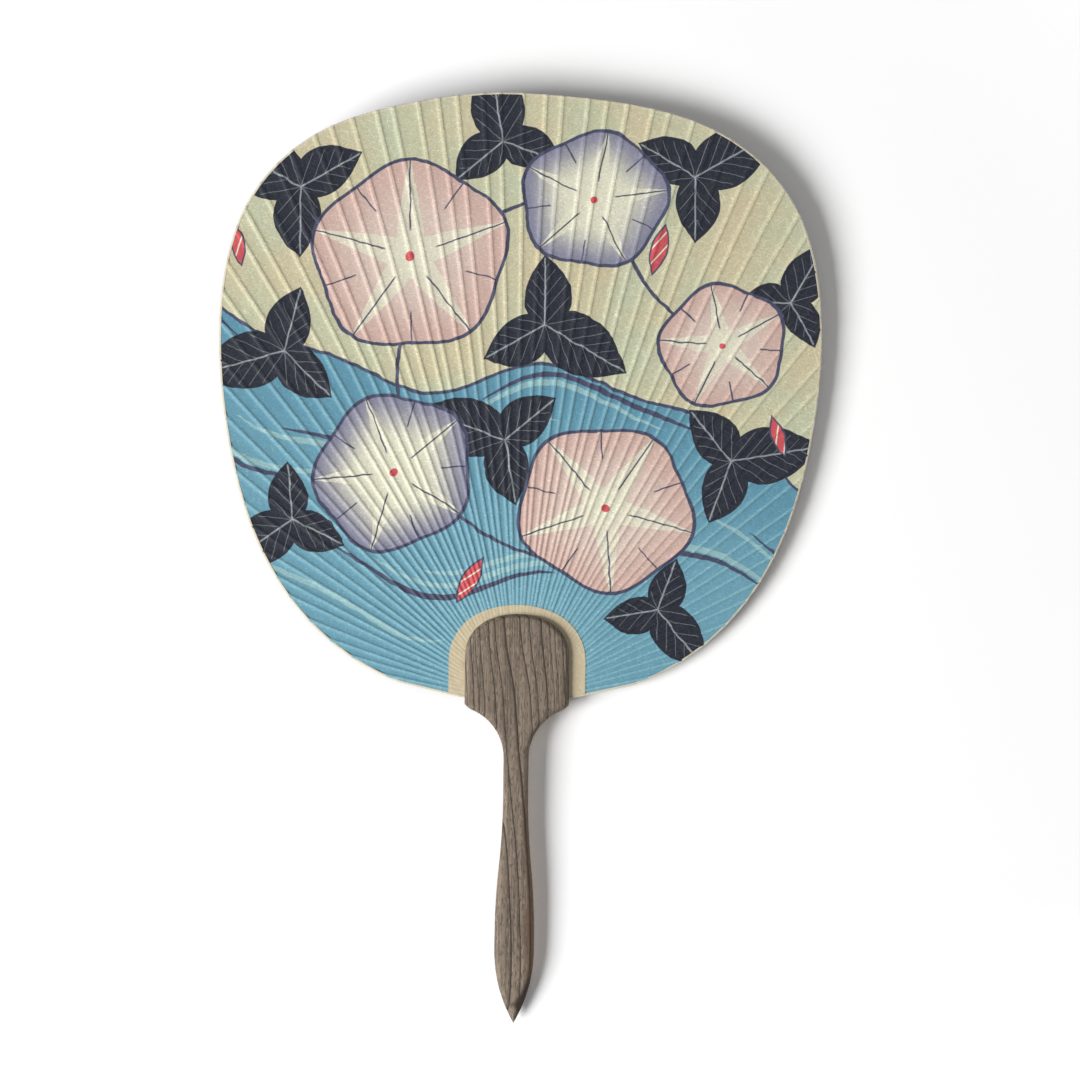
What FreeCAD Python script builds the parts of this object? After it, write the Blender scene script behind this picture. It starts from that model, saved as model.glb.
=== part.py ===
import FreeCAD, Part
import math
import os

from FreeCAD import Vector

# Round hand fan with an inserted wooden handle.
# Thin bamboo ribs radiate from a hub inside the handle's head. A sheet of paper is pasted on each side of them and
# pressed down between them, so that every rib stands out as a ridge. A narrow strip binds the rim, an arched collar
# paper covers the root on each side, and the root sits in a slot sawn through the head of the handle.
# Frame: +X to the right seen from the front, -Y is the front, +Z up. The origin is the middle of the grip.
# All lengths are in millimetres and all angles in degrees.

# Face outline: a smooth closed curve through these points and their mirror images, from the crown down the right side
# to the base, as shares of half the width and of the height
face_width = 250.0
face_height = 252.2
face_outline_shares = (
    (0, 1),
    (0.38, 0.981),
    (0.71, 0.922),
    (0.91, 0.816),
    (0.985, 0.70),
    (1, 0.58),
    (0.965, 0.42),
    (0.878, 0.27),
    (0.715, 0.139),
    (0.42, 0.034),
    (0, 0),
)

# Levels on the axis
hub_height = 99.0
base_above_hub = 1.3

# Ribs: the pitch opens from the axis to the sides, and each rib lies a little off its place, as laid by hand
ribs_per_side = 32
rib_centre_pitch = 2.0
rib_spread = 78.0
rib_scatter = 0.25
scatter_turn = 137.5
rib_thickness = 0.8
rib_root_width = 0.34
rib_end_width = 1.0
rib_root_radius = 19.0

# Papers and the strip on the rim
paper_thickness = 0.15
ridge_run = 0.35
last_panel_angle = 20.0
binding_thickness = 0.15
binding_width = 0.8
binding_tuck = 6.0

# Collar papers
collar_thickness = 0.15
collar_width = 56.8
collar_top = 41.0
collar_crown_radius = 38.0
collar_corner_radius = 22.0

# Handle, seen from the front
head_width = 43.2
head_top = 37.2
head_crown_radius = 30.0
head_corner_radius = 16.0
corner_bevel_run = 2.2
corner_bevel_rise = 2.0
neck_width = 10.4
neck_drop = 22.4
neck_sweep_radius = 21.3
neck_length = 16.0
grip_width = 16.4
grip_flat = 6.0
tip_length = 33.6

# Handle, seen from the side
handle_thickness = 8.0
tip_thickness = 2.0
edge_bevel = 1.5
slot_clearance = 0.05

# What cutting tools run past the faces that they cut; the panel tools run less, to stay clear of one another
overrun = 2.0
panel_overrun_share = 0.25

# Values that several pieces share
face_base = hub_height + base_above_hub
face_top = face_base + face_height
rib_rise = rib_thickness / 2
crest_level = rib_rise + paper_thickness
face_reach = face_top - hub_height
tool_reach = math.hypot(face_width, face_reach) + overrun
hub = Vector(0, 0, hub_height)
front = Vector(0, -1, 0)
mirror_normal = Vector(0, 1, 0)


# Plane geometry

def arc_between(centre, radius, start, end):
    """Arc in the plane of the face about centre, from one angle to another, measured from +X towards +Z."""
    angles = (start, (start + end) / 2, end)
    points = [centre + Vector(radius * math.cos(a), 0, radius * math.sin(a)) for a in angles]
    return Part.Arc(*points).toShape()


def angle_to(centre, target):
    """Direction from centre to target, in radians from +X towards +Z."""
    return math.atan2(target.z - centre.z, target.x - centre.x)


def mirrored(edges):
    """The same edges on the other side of the axis, in reverse order, so that both halves make one loop."""
    return [edge.mirror(Vector(0, 0, 0), Vector(1, 0, 0)) for edge in reversed(edges)]


def prism(edges, near, far):
    """Solid between two levels, measured towards the front, over the closed loop of edges."""
    loop = Part.Wire(Part.__sortEdges__(edges))
    loop.translate(front * near)
    return Part.Face(loop).extrude(front * (far - near))


def smooth_loop(points):
    """Closed curve through the points."""
    curve = Part.BSplineCurve()
    curve.interpolate(points, PeriodicFlag=True)
    return curve


def face_edges(grow):
    """Closed outline of the face, moved outwards by grow."""
    right = [Vector(x * face_width / 2, 0, face_base + z * face_height) for x, z in face_outline_shares]
    left = [Vector(-point.x, 0, point.z) for point in reversed(right[1:-1])]
    points = right + left
    curve = smooth_loop(points)
    moved = []
    for point in points:
        along = curve.tangent(curve.parameter(point))[0]
        moved.append(point + Vector(-along.z, 0, along.x) * grow)
    return [smooth_loop(moved).toShape()]


def arch_edges(width, top, crown, corner):
    """Right half of an arch, from its top on the axis to its spring line, and the spring point."""
    crown_centre = Vector(0, 0, top - crown)
    corner_x = width / 2 - corner
    corner_rise = math.sqrt((crown - corner) ** 2 - corner_x**2)
    corner_centre = crown_centre + Vector(corner_x, 0, corner_rise)
    turn = angle_to(crown_centre, corner_centre)
    edges = [
        arc_between(crown_centre, crown, math.pi / 2, turn),
        arc_between(corner_centre, corner, turn, 0),
    ]
    return edges, Vector(width / 2, 0, corner_centre.z)


def line(start, end):
    return Part.LineSegment(start, end).toShape()


# Ribs

def rib_angle(index):
    """Angle of a rib from the axis. Ribs are counted outwards from the one on the axis."""
    share = index / ribs_per_side
    opening = rib_spread - rib_centre_pitch * ribs_per_side
    scatter = rib_scatter * math.sin(math.radians(scatter_turn * index))
    return rib_centre_pitch * index + opening * share**3 + scatter


def rib_half_width(radius):
    """Half the width of a rib at a distance from the hub."""
    taper = (rib_end_width - rib_root_width) / (face_reach - rib_root_radius)
    return (rib_root_width + taper * (radius - rib_root_radius)) / 2


def beside_rib(angle, side, radius, gap):
    """Point beside a rib's edge, on its right (side 1) or left (side -1), moved off the edge by gap."""
    turn = math.radians(angle)
    along = Vector(math.sin(turn), 0, math.cos(turn))
    across = Vector(math.cos(turn), 0, -math.sin(turn))
    return hub + along * radius + across * side * (rib_half_width(radius) + gap)


def make_rib(angle, outline):
    """One tapered splint from its root in the handle's slot to the rim."""
    corners = [
        beside_rib(angle, -1, rib_root_radius, 0),
        beside_rib(angle, -1, tool_reach, 0),
        beside_rib(angle, 1, tool_reach, 0),
        beside_rib(angle, 1, rib_root_radius, 0),
    ]
    sides = [line(corners[k - 1], corners[k]) for k in range(len(corners))]
    return prism(sides, -rib_rise, rib_rise).common(outline)


# Papers

def meeting_point(a, b, c, d):
    """Where the line through a and b meets the line through c and d, in the plane of the face."""
    first = b - a
    second = d - c
    cross = first.x * second.z - first.z * second.x
    share = ((c.x - a.x) * second.z - (c.z - a.z) * second.x) / cross
    return a + first * share


def panel_triangle(left, right, gap, level):
    """Outline of the space between two ribs at one level: an apex towards the hub and two points past the rim."""
    left_root = beside_rib(left, 1, rib_root_radius, gap)
    left_far = beside_rib(left, 1, tool_reach, gap)
    right_root = beside_rib(right, -1, rib_root_radius, gap)
    right_far = beside_rib(right, -1, tool_reach, gap)
    apex = meeting_point(left_root, left_far, right_root, right_far)
    return [corner + front * level for corner in (apex, left_far, right_far)]


def panel_tool(left, right):
    """Solid that cuts one panel between two ribs out of a plate, with the paper's slope up to each rib."""
    rise = rib_rise * panel_overrun_share
    floor = panel_triangle(left, right, ridge_run, paper_thickness)
    top = panel_triangle(left, right, -ridge_run * panel_overrun_share, crest_level + rise)
    loops = [floor, top]
    loops += [[floor[k - 1], floor[k], top[k], top[k - 1]] for k in range(len(floor))]
    faces = [Part.Face(Part.makePolygon(loop + loop[:1])) for loop in loops]
    tool = Part.Solid(Part.Shell(faces))
    if tool.Volume < 0:
        tool.reverse()
    return tool


def make_core(angles):
    """Front half of the face: a plate from the middle plane out, cut down to the paper between the ribs."""
    bounds = [angles[0] - last_panel_angle] + angles + [angles[-1] + last_panel_angle]
    tools = [panel_tool(left, right) for left, right in zip(bounds, bounds[1:])]
    return prism(face_edges(0), 0, crest_level).cut(tools)


def make_binding():
    """Strip folded round the rim, lying on the ridges. Its ends are tucked into the handle's head."""
    outside = crest_level + binding_thickness
    strip = prism(face_edges(binding_thickness), -outside, outside)
    face = prism(face_edges(0), -crest_level, crest_level)
    window = prism(face_edges(-binding_width), -outside - overrun, outside + overrun)
    tuck = head_width / 2 - binding_tuck
    gap = Part.makeBox(
        2 * tuck, handle_thickness, head_top, Vector(-tuck, -handle_thickness / 2, face_base - binding_width)
    )
    return strip.cut([face, window, gap])


def make_collar():
    """Front collar paper: an arch over the root of the face, lying on the ridges inside the binding."""
    edges, spring = arch_edges(collar_width, hub_height + collar_top, collar_crown_radius, collar_corner_radius)
    foot = Vector(spring.x, 0, hub_height - overrun)
    right = edges + [line(spring, foot)]
    bottom = line(foot, Vector(-foot.x, 0, foot.z))
    arch = prism(right + [bottom] + mirrored(right), crest_level, crest_level + collar_thickness)
    inside = prism(face_edges(-binding_width), 0, crest_level + collar_thickness + overrun)
    return arch.common(inside)


# Handle

def handle_edges():
    """Closed outline of the handle from the front."""
    edges, spring = arch_edges(head_width, hub_height + head_top, head_crown_radius, head_corner_radius)
    neck_half = neck_width / 2
    grip_half = grip_width / 2
    neck_top = hub_height - neck_drop
    sweep_centre = Vector(neck_half + neck_sweep_radius, 0, neck_top)
    bevel_x = head_width / 2 - corner_bevel_run
    sweep_rise = math.sqrt(neck_sweep_radius**2 - (sweep_centre.x - bevel_x) ** 2)
    bevel_end = Vector(bevel_x, 0, neck_top + sweep_rise)
    corner = Vector(head_width / 2, 0, bevel_end.z + corner_bevel_rise)
    neck_start = Vector(neck_half, 0, neck_top)
    neck_end = Vector(neck_half, 0, neck_top - neck_length)
    swell_top = Vector(grip_half, 0, grip_flat / 2)
    swell_rise = neck_end.z - swell_top.z
    swell = grip_half - neck_half
    swell_radius = (swell_rise**2 + swell**2) / (4 * swell)
    swell_turn = math.asin(swell_rise / 2 / swell_radius)
    flat_end = Vector(grip_half, 0, -grip_flat / 2)
    taper = tip_length - grip_flat / 2
    tip_radius = (grip_half**2 + taper**2) / (2 * grip_half)
    tip_turn = math.asin(taper / tip_radius)
    right = edges + [
        line(spring, corner),
        line(corner, bevel_end),
        arc_between(sweep_centre, neck_sweep_radius, angle_to(sweep_centre, bevel_end), math.pi),
        line(neck_start, neck_end),
        arc_between(neck_end + Vector(swell_radius, 0, 0), swell_radius, math.pi, math.pi + swell_turn),
        arc_between(swell_top - Vector(swell_radius, 0, 0), swell_radius, swell_turn, 0),
        line(swell_top, flat_end),
        arc_between(flat_end - Vector(tip_radius, 0, 0), tip_radius, 0, -tip_turn),
    ]
    return right + mirrored(right)


def tip_sides():
    """Tool that thins the lower end of the handle towards its tip, on both faces."""
    half = handle_thickness / 2
    tip_half = tip_thickness / 2
    start = -grip_flat / 2
    drop = tip_length + start
    thinning = half - tip_half
    radius = (drop**2 + thinning**2) / (2 * thinning)
    turn = math.asin(drop / radius)
    middle = Vector(0, half - radius + radius * math.cos(turn / 2), start - radius * math.sin(turn / 2))
    over = half + overrun
    points = [
        Vector(0, half, start),
        Vector(0, tip_half, start - drop),
        Vector(0, tip_half, start - drop - overrun),
        Vector(0, over, start - drop - overrun),
        Vector(0, over, start),
    ]
    curve = Part.Arc(points[0], middle, points[1]).toShape()
    sides = [line(points[k], points[k + 1]) for k in range(1, len(points) - 1)]
    loop = Part.Wire([curve] + sides + [line(points[-1], points[0])])
    tool = Part.Face(loop).extrude(Vector(grip_width, 0, 0))
    tool.translate(Vector(-grip_width / 2, 0, 0))
    return [tool, tool.mirror(Vector(0, 0, 0), mirror_normal)]


def make_handle():
    """Flat wooden handle with bevelled edges, a slot sawn through its head and a whittled tip."""
    half = handle_thickness / 2
    board = prism(handle_edges(), -half, half)
    rims = [edge for edge in board.Edges if edge.BoundBox.YLength < half]
    board = board.makeChamfer(edge_bevel, rims)
    slot_half = crest_level + max(collar_thickness, binding_thickness) + slot_clearance
    slot_floor = face_base - binding_thickness
    slot = Part.makeBox(
        head_width + overrun,
        2 * slot_half,
        head_top + overrun,
        Vector(-(head_width + overrun) / 2, -slot_half, slot_floor),
    )
    return board.cut([slot] + tip_sides())


def build():
    """Every piece by its node's name."""
    right_angles = [rib_angle(index) for index in range(1, ribs_per_side + 1)]
    angles = [-angle for angle in reversed(right_angles)] + [0.0] + right_angles
    outline = prism(face_edges(0), -crest_level, crest_level)
    ribs = {angle: make_rib(angle, outline) for angle in angles}
    front_paper = make_core(angles).cut(list(ribs.values()))
    front_collar = make_collar()
    pieces = {
        "handle": make_handle(),
        "front_paper": front_paper,
        "back_paper": front_paper.mirror(Vector(0, 0, 0), mirror_normal),
        "front_collar_paper": front_collar,
        "back_collar_paper": front_collar.mirror(Vector(0, 0, 0), mirror_normal),
        "rim_binding": make_binding(),
        "rib_centre": ribs[0.0],
    }
    for number, angle in enumerate(right_angles, start=1):
        pieces[f"rib_pair_{number:02d}"] = Part.makeCompound([ribs[-angle], ribs[angle]])
    return pieces


def main():
    os.makedirs("parts", exist_ok=True)
    for name, shape in build().items():
        solids = shape.Solids
        volume = sum(solid.Volume for solid in solids)
        print(f"{name}: {len(solids)} solid(s), {len(shape.Faces)} faces, {volume:.1f} mm3, valid {shape.isValid()}")
        shape.exportStep(os.path.join("parts", f"{name}.step"))


main()
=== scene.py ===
import math
from collections import namedtuple
from functools import reduce

import bmesh
import bpy
import numpy as np
from mathutils import Matrix, Vector, noise
from mathutils.bvhtree import BVHTree
from mathutils.geometry import convex_hull_2d


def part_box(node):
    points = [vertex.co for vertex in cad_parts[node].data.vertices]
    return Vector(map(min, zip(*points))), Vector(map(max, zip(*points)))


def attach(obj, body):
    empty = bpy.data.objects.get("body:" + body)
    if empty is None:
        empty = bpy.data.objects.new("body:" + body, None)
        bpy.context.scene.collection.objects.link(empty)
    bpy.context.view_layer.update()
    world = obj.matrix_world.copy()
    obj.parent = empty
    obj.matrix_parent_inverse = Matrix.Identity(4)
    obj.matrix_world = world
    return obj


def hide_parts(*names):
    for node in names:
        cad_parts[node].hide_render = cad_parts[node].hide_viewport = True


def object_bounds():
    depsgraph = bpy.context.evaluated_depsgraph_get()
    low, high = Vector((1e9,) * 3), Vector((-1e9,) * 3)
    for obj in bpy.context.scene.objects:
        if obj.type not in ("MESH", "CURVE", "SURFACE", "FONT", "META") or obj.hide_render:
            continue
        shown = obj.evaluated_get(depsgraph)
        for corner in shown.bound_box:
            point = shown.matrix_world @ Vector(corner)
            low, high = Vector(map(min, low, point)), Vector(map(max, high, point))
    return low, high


# Round paper hand fan: the finish of every surface, around the fixed frame. Front is -Y.
# Metres throughout, but the print is in millimetres on the face, from its middle.
# Angles are in radians, or in degrees where a comment says so. Grains of noise are counted per metre.

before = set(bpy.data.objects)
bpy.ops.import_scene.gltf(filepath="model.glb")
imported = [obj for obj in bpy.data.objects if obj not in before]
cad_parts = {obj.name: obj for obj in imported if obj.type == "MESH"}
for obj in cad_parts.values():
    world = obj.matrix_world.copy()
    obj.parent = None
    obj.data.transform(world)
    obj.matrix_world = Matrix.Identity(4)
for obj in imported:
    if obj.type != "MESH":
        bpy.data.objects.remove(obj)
cad_low, cad_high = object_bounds()

MM = 0.001
FRONT = -1
BACK = 1

# Face: the ribs run out from the hub, and the paper sinks between them
hub_height = 99 * MM
rib_root_width = 0.34 * MM
rib_end_width = 1.0 * MM
rib_root_radius = 19 * MM
rib_root_margin = 0.5 * MM
flank_run = 0.75 * MM
flank_share = 0.66
full_depth_gap = 1.5 * MM
sheet_rows = 44
sheet_root_radius = 6 * MM
collar_rows = 14
collar_sink_share = 0.35
edge_angle_margin = math.radians(0.03)
settling_rounds = 6
cockle_depth = 0.05 * MM
cockle_grain = 70
panel_seed = 11
sharp_angle = math.radians(60)

# Columns of a sheet beside each rib: distance off the rib's edge, and the most as a share of the gap
column_stations = ((0.0, 0.22), (0.2 * MM, 0.36), (0.42 * MM, 0.52), (0.75 * MM, 0.68), (1.5 * MM, 0.84))

# Strip on the rim
strip_lap = 0.7 * MM
strip_thickness = 0.13 * MM
strip_tuck = 6 * MM
strip_end_points = 12

# Handle: its rows, its bevelled section and its slot, cut by a saw that reaches past it by a factor
handle_rows = 300
handle_columns = 56
wall_columns = 5
edge_bevel = 1.5 * MM
edge_softness = 0.5 * MM
least_depth_share = 0.125
probe_depth = 2 * MM
slot_margin = 1 * MM
end_margin = 0.05 * MM
row_crowding_share = 0.85
saw_overreach = 2
quad_corners = 4

# Growth rings of the wood: they slant along the grip, shift in the head and crowd at its sides
ring_spacing = 5.3 * MM
ring_slant = 0.11
ring_lean = 0.55
ring_wobble = 1.1 * MM
bend_grain = (16, 16, 9)
bend_start = 3
wave_grain = (60, 60, 14)
wave_share = 0.35
bow_height = 58 * MM
bow_reach = 45 * MM
head_shift = 2.2 * MM
head_bend = 115 * MM
head_bend_reach = 12 * MM
side_crowding = 26 * MM
crowding = 0.18
crowding_turn = 2.3
crowding_start = 2.9

# Worn grain of the handle's surface
groove_depth = 0.02 * MM
groove_width_share = 0.07
worn_fibre_depth = 0.035 * MM
worn_fibre_grain = (2600, 2600, 70)
grain_fade = 2 * MM


# Frame geometry

def node_points(name):
    """Every vertex of a CAD node."""
    return np.array([vertex.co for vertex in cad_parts[name].data.vertices], float)


def read_rib_angles():
    """Angle of every rib from the axis, from the middle of its root."""
    angles = []
    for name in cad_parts:
        if not name.startswith("rib_"):
            continue
        points = node_points(name)
        pair = (points[points[:, 0] < 0], points[points[:, 0] > 0])
        for rib in (points,) if name == "rib_centre" else pair:
            reach = np.hypot(rib[:, 0], rib[:, 2] - hub_height)
            root = rib[reach < rib_root_radius + rib_root_margin].mean(0)
            angles.append(math.atan2(root[0], root[2] - hub_height))
    return np.array(sorted(angles))


def outline_of(name):
    """Outline of a flat, convex node in the plane of the face, measured from the hub."""
    flat = node_points(name)[:, (0, 2)] - (0, hub_height)
    order = convex_hull_2d([Vector(point) for point in flat])
    return flat[order]


def ray_span(outline, angle):
    """Distances from the hub at which a ray enters and leaves an outline."""
    along = np.array((math.sin(angle), math.cos(angle)))
    across = np.array((along[1], -along[0]))
    side = outline @ across
    reach = outline @ along
    next_side = np.roll(side, -1)
    next_reach = np.roll(reach, -1)
    crossing = (side > 0) != (next_side > 0)
    share = side[crossing] / (side[crossing] - next_side[crossing])
    hits = reach[crossing] + share * (next_reach[crossing] - reach[crossing])
    return hits.min(), hits.max()


rib_angles = read_rib_angles()
face_outline = outline_of("front_paper")
collar_outline = outline_of("front_collar_paper")
face_low, face_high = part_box("front_paper")
face_middle = (face_low.z + face_high.z) / 2
handle_low, handle_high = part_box("handle")
rib_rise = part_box("rib_centre")[1].y
crest_level = -face_low.y
paper_thickness = crest_level - rib_rise
collar_level = -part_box("front_collar_paper")[0].y
gap_middles = (rib_angles[1:] + rib_angles[:-1]) / 2


def gap_angles(outline):
    """Angles from each rib to the middle of the gap on its left and right, or to the outline's edge."""
    widest = max(math.atan2(abs(x), z) for x, z in outline) - edge_angle_margin
    halves = np.diff(rib_angles) / 2
    return np.append(rib_angles[0] + widest, halves), np.append(halves, widest - rib_angles[-1])


gaps_left, gaps_right = gap_angles(face_outline)


# Ridged sheets

def rib_half_width(radius):
    """Half the width of a rib at a distance from the hub."""
    taper = (rib_end_width - rib_root_width) / (face_high.z - hub_height - rib_root_radius)
    return (rib_root_width + taper * (radius - rib_root_radius)) / 2


def smoothstep(value):
    """Smooth rise from 0 to 1 as the value goes from 0 to 1."""
    held = np.clip(value, 0, 1)
    return held * held * (3 - 2 * held)


def ridge_share(angle, radius):
    """Height of the paper over the ribs: 1 on a rib and 0 in the middle of a wide panel."""
    rib = np.searchsorted(gap_middles, angle)
    turn = angle - rib_angles[rib]
    off = radius * np.abs(np.sin(turn))
    along = radius * np.cos(turn)
    half = rib_half_width(along)
    gap = along * np.tan(np.where(turn > 0, gaps_right[rib], gaps_left[rib]))
    steep = 1 - smoothstep((off - half) / flank_run)
    sag = (1 - np.clip((off - half) / np.maximum(gap - half, flank_run), 0, 1)) ** 2
    depth = smoothstep(gap / full_depth_gap)
    return 1 - depth * (1 - flank_share * steep - (1 - flank_share) * sag)


def sheet_columns(outline):
    """Columns from left to right: the rib that each runs beside, its side, its gap and its station."""
    columns = []
    for rib, (left_gap, right_gap) in enumerate(zip(*gap_angles(outline))):
        left = [(rib, -1, left_gap, station) for station in reversed(column_stations)]
        right = [(rib, 1, right_gap, station) for station in column_stations]
        if rib == 0:
            columns.append((rib, -1, left_gap, None))
        columns += left + [(rib, 0, 0, None)] + right
        columns.append((rib, 1, right_gap, None))
    return columns


def column_angle(column, radius):
    """Angle of a column at a distance from the hub."""
    rib, side, gap, station = column
    if station is None:
        return np.full_like(radius, rib_angles[rib] + side * gap)
    away, most_share = station
    off = np.minimum(np.arctan((rib_half_width(radius) + away) / radius), gap * most_share)
    return rib_angles[rib] + side * off


def column_span(outline, column, radius):
    """Distances at which a column enters and leaves an outline, with its angle at one distance."""
    return ray_span(outline, float(column_angle(column, np.array(radius))))


def sheet_grid(outline, rows):
    """Angles and distances of a sheet's points: one column per station, from near the hub to the outline."""
    share = np.linspace(0, 1, rows)
    angles = []
    radii = []
    for column in sheet_columns(outline):
        far = face_high.z - hub_height
        for _ in range(settling_rounds):
            far = column_span(outline, column, far)[1]
        near = column_span(outline, column, sheet_root_radius)[0]
        near = min(max(near, sheet_root_radius), far)
        radius = near + share * (far - near)
        angles.append(column_angle(column, radius))
        radii.append(radius)
    return np.array(angles), np.array(radii)


def grid_points(angles, radii, levels, side):
    """Points of a grid at their levels, on the front or the back."""
    return np.stack((radii * np.sin(angles), side * levels, hub_height + radii * np.cos(angles)), axis=-1)


def cockle(points):
    """Slight unevenness of pasted paper."""
    flat = points.reshape(-1, 3)
    values = [noise.noise(Vector(point) * cockle_grain) for point in flat]
    return np.array(values).reshape(points.shape[:-1]) * cockle_depth


def mesh_object(name, points, faces, material):
    """Smooth mesh with its sharp edges kept, placed in the scene."""
    mesh = bpy.data.meshes.new(name)
    mesh.from_pydata([tuple(point) for point in points], [], faces)
    mesh.validate()
    mesh.shade_smooth()
    mesh.set_sharp_from_angle(angle=sharp_angle)
    mesh.materials.append(material)
    made = bpy.data.objects.new(name, mesh)
    bpy.context.scene.collection.objects.link(made)
    return made


def pairs_round(loop):
    """Each entry of a closed loop with the one after it."""
    return zip(loop, loop[1:] + loop[:1])


def closed_sheet(name, outer, inner, material):
    """Thin closed sheet between two grids of points."""
    columns, rows = outer.shape[:2]
    count = columns * rows
    index = np.arange(count).reshape(columns, rows)
    quads = np.stack((index[:-1, :-1], index[1:, :-1], index[1:, 1:], index[:-1, 1:]), axis=-1).reshape(-1, 4)
    faces = quads.tolist() + (quads[:, ::-1] + count).tolist()
    rim = np.concatenate((index[:, 0], index[-1, 1:], index[-2::-1, -1], index[0, -2:0:-1])).tolist()
    faces += [(following, here, here + count, following + count) for here, following in pairs_round(rim)]
    points = np.concatenate((outer.reshape(-1, 3), inner.reshape(-1, 3)))
    return mesh_object(name, points, faces, material)


def tube_faces(stations, sides):
    """Faces along a tube of closed loops, with the numbers of its first and last loop."""
    index = np.arange(stations * sides).reshape(stations, sides)
    turned = np.roll(index, -1, axis=1)
    quads = np.stack((index[:-1], turned[:-1], turned[1:], index[1:]), axis=-1).reshape(-1, 4)
    return quads.tolist(), index[0].tolist(), index[-1].tolist()


def set_attribute(piece, name, values):
    """Number on every vertex, for the piece's material."""
    held = piece.data.attributes.new(name, "FLOAT", "POINT")
    held.data.foreach_set("value", np.asarray(values, np.float32).ravel())


def panel_shades(angles):
    """One number from 0 to 1 for every panel, as the paper took the paste differently."""
    shades = np.random.default_rng(panel_seed).random(len(rib_angles) + 1)
    return shades[np.searchsorted(rib_angles, angles)]


def facing(side, *grids):
    """Grids in the column order that turns a sheet's outer face to the front or the back."""
    return [grid[::-1] for grid in grids] if side == BACK else grids


def finish_piece(piece, node):
    """Hangs a piece on the root body and hides the CAD node that it stands for."""
    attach(piece, "root")
    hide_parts(node)


def face_sheet(name, side, material, node):
    """Face paper: it lies on the ribs and is pressed down between them."""
    angles, radii = sheet_grid(face_outline, sheet_rows)
    ridge = ridge_share(angles, radii)
    levels = paper_thickness + rib_rise * ridge
    levels = levels + cockle(grid_points(angles, radii, levels, side)) * (1 - ridge)
    outer = grid_points(angles, radii, levels, side)
    inner = grid_points(angles, radii, levels - paper_thickness, side)
    outer, inner, angles, ridge = facing(side, outer, inner, angles, ridge)
    piece = closed_sheet(name, outer, inner, material)
    shades = panel_shades(angles)
    set_attribute(piece, "ridge", (ridge, ridge))
    set_attribute(piece, "panel", (shades, shades))
    finish_piece(piece, node)


def collar_sheet(name, side, material, node):
    """Collar paper: it lies over the ridges of the face and sinks a little between them."""
    angles, radii = sheet_grid(collar_outline, collar_rows)
    levels = collar_level - rib_rise * collar_sink_share * (1 - ridge_share(angles, radii))
    outer = grid_points(angles, radii, levels, side)
    inner = grid_points(angles, radii, levels - paper_thickness, side)
    piece = closed_sheet(name, *facing(side, outer, inner), material)
    finish_piece(piece, node)


def strip_path():
    """Points along the rim from the hub, from inside the head on the left to inside it on the right."""
    angles, radii = sheet_grid(face_outline, 2)
    crown = np.stack((radii[:, 1] * np.sin(angles[:, 1]), radii[:, 1] * np.cos(angles[:, 1])), axis=-1)
    tuck = handle_high.x - strip_tuck
    ends = []
    for side, reach in ((-1, -crown[0, 0]), (1, crown[-1, 0])):
        across = side * np.linspace(tuck, reach, strip_end_points)[:-1]
        heights = [ray_span(face_outline - (x, 0), 0)[0] for x in across]
        ends.append(np.stack((across, heights), axis=-1))
    return np.concatenate((ends[0], crown, ends[1][::-1]))


def rim_strip(name, material, node):
    """Narrow strip folded round the rim, following the ridges on both sides."""
    middle = strip_path()
    angles = np.arctan2(middle[:, 0], middle[:, 1])
    level = paper_thickness + rib_rise * ridge_share(angles, np.hypot(middle[:, 0], middle[:, 1]))
    run = np.gradient(middle, axis=0)
    run /= np.linalg.norm(run, axis=1)[:, None]
    outward = np.stack((-run[:, 1], run[:, 0]), axis=-1)
    top = level + strip_thickness
    half = level / 2
    section = [
        (0, -level),
        (0, level),
        (-strip_lap, level),
        (-strip_lap, top),
        (0, top),
        (strip_thickness, level),
        (strip_thickness, half),
        (strip_thickness, -half),
        (strip_thickness, -level),
        (0, -top),
        (-strip_lap, -top),
        (-strip_lap, -level),
    ]
    lines = []
    for away, depth in section:
        flat = middle + outward * away
        lines.append(np.stack((flat[:, 0], depth, flat[:, 1] + hub_height), axis=-1))
    points = np.stack(lines, axis=1)
    faces, first, last = tube_faces(*points.shape[:2])
    faces += [first[::-1], last]
    piece = mesh_object(name, points.reshape(-1, 3), faces, material)
    finish_piece(piece, node)


# Handle

def wood_noise(point, grain, start=0):
    """Noise in the wood, with its grain along each axis, from a start along the height."""
    x, y, z = point
    return noise.noise(Vector((x * grain[0], y * grain[1], z * grain[2] + start)))


def ring_at(point):
    """Growth ring coordinate of the wood: a dark line lies at every whole number."""
    x, y, z = point
    wave = wood_noise(point, bend_grain, bend_start) + wave_share * wood_noise(point, wave_grain)
    drift = ring_slant * bow_reach * math.tanh((z - bow_height) / bow_reach)
    drift += head_shift * math.tanh((z - head_bend) / head_bend_reach)
    across = x * (1 + (x / side_crowding) ** 2) + ring_lean * y + drift + ring_wobble * wave
    even = across / ring_spacing
    return even + crowding * math.sin(crowding_turn * even + crowding_start)


def grain_height(point):
    """Relief of the weathered grain: grooves on the dark lines and fine fibres between them."""
    ring = ring_at(point)
    away = (ring - round(ring)) / groove_width_share
    fibre = wood_noise(point, worn_fibre_grain)
    return -groove_depth * math.exp(-away * away) + worn_fibre_depth * fibre


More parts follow.
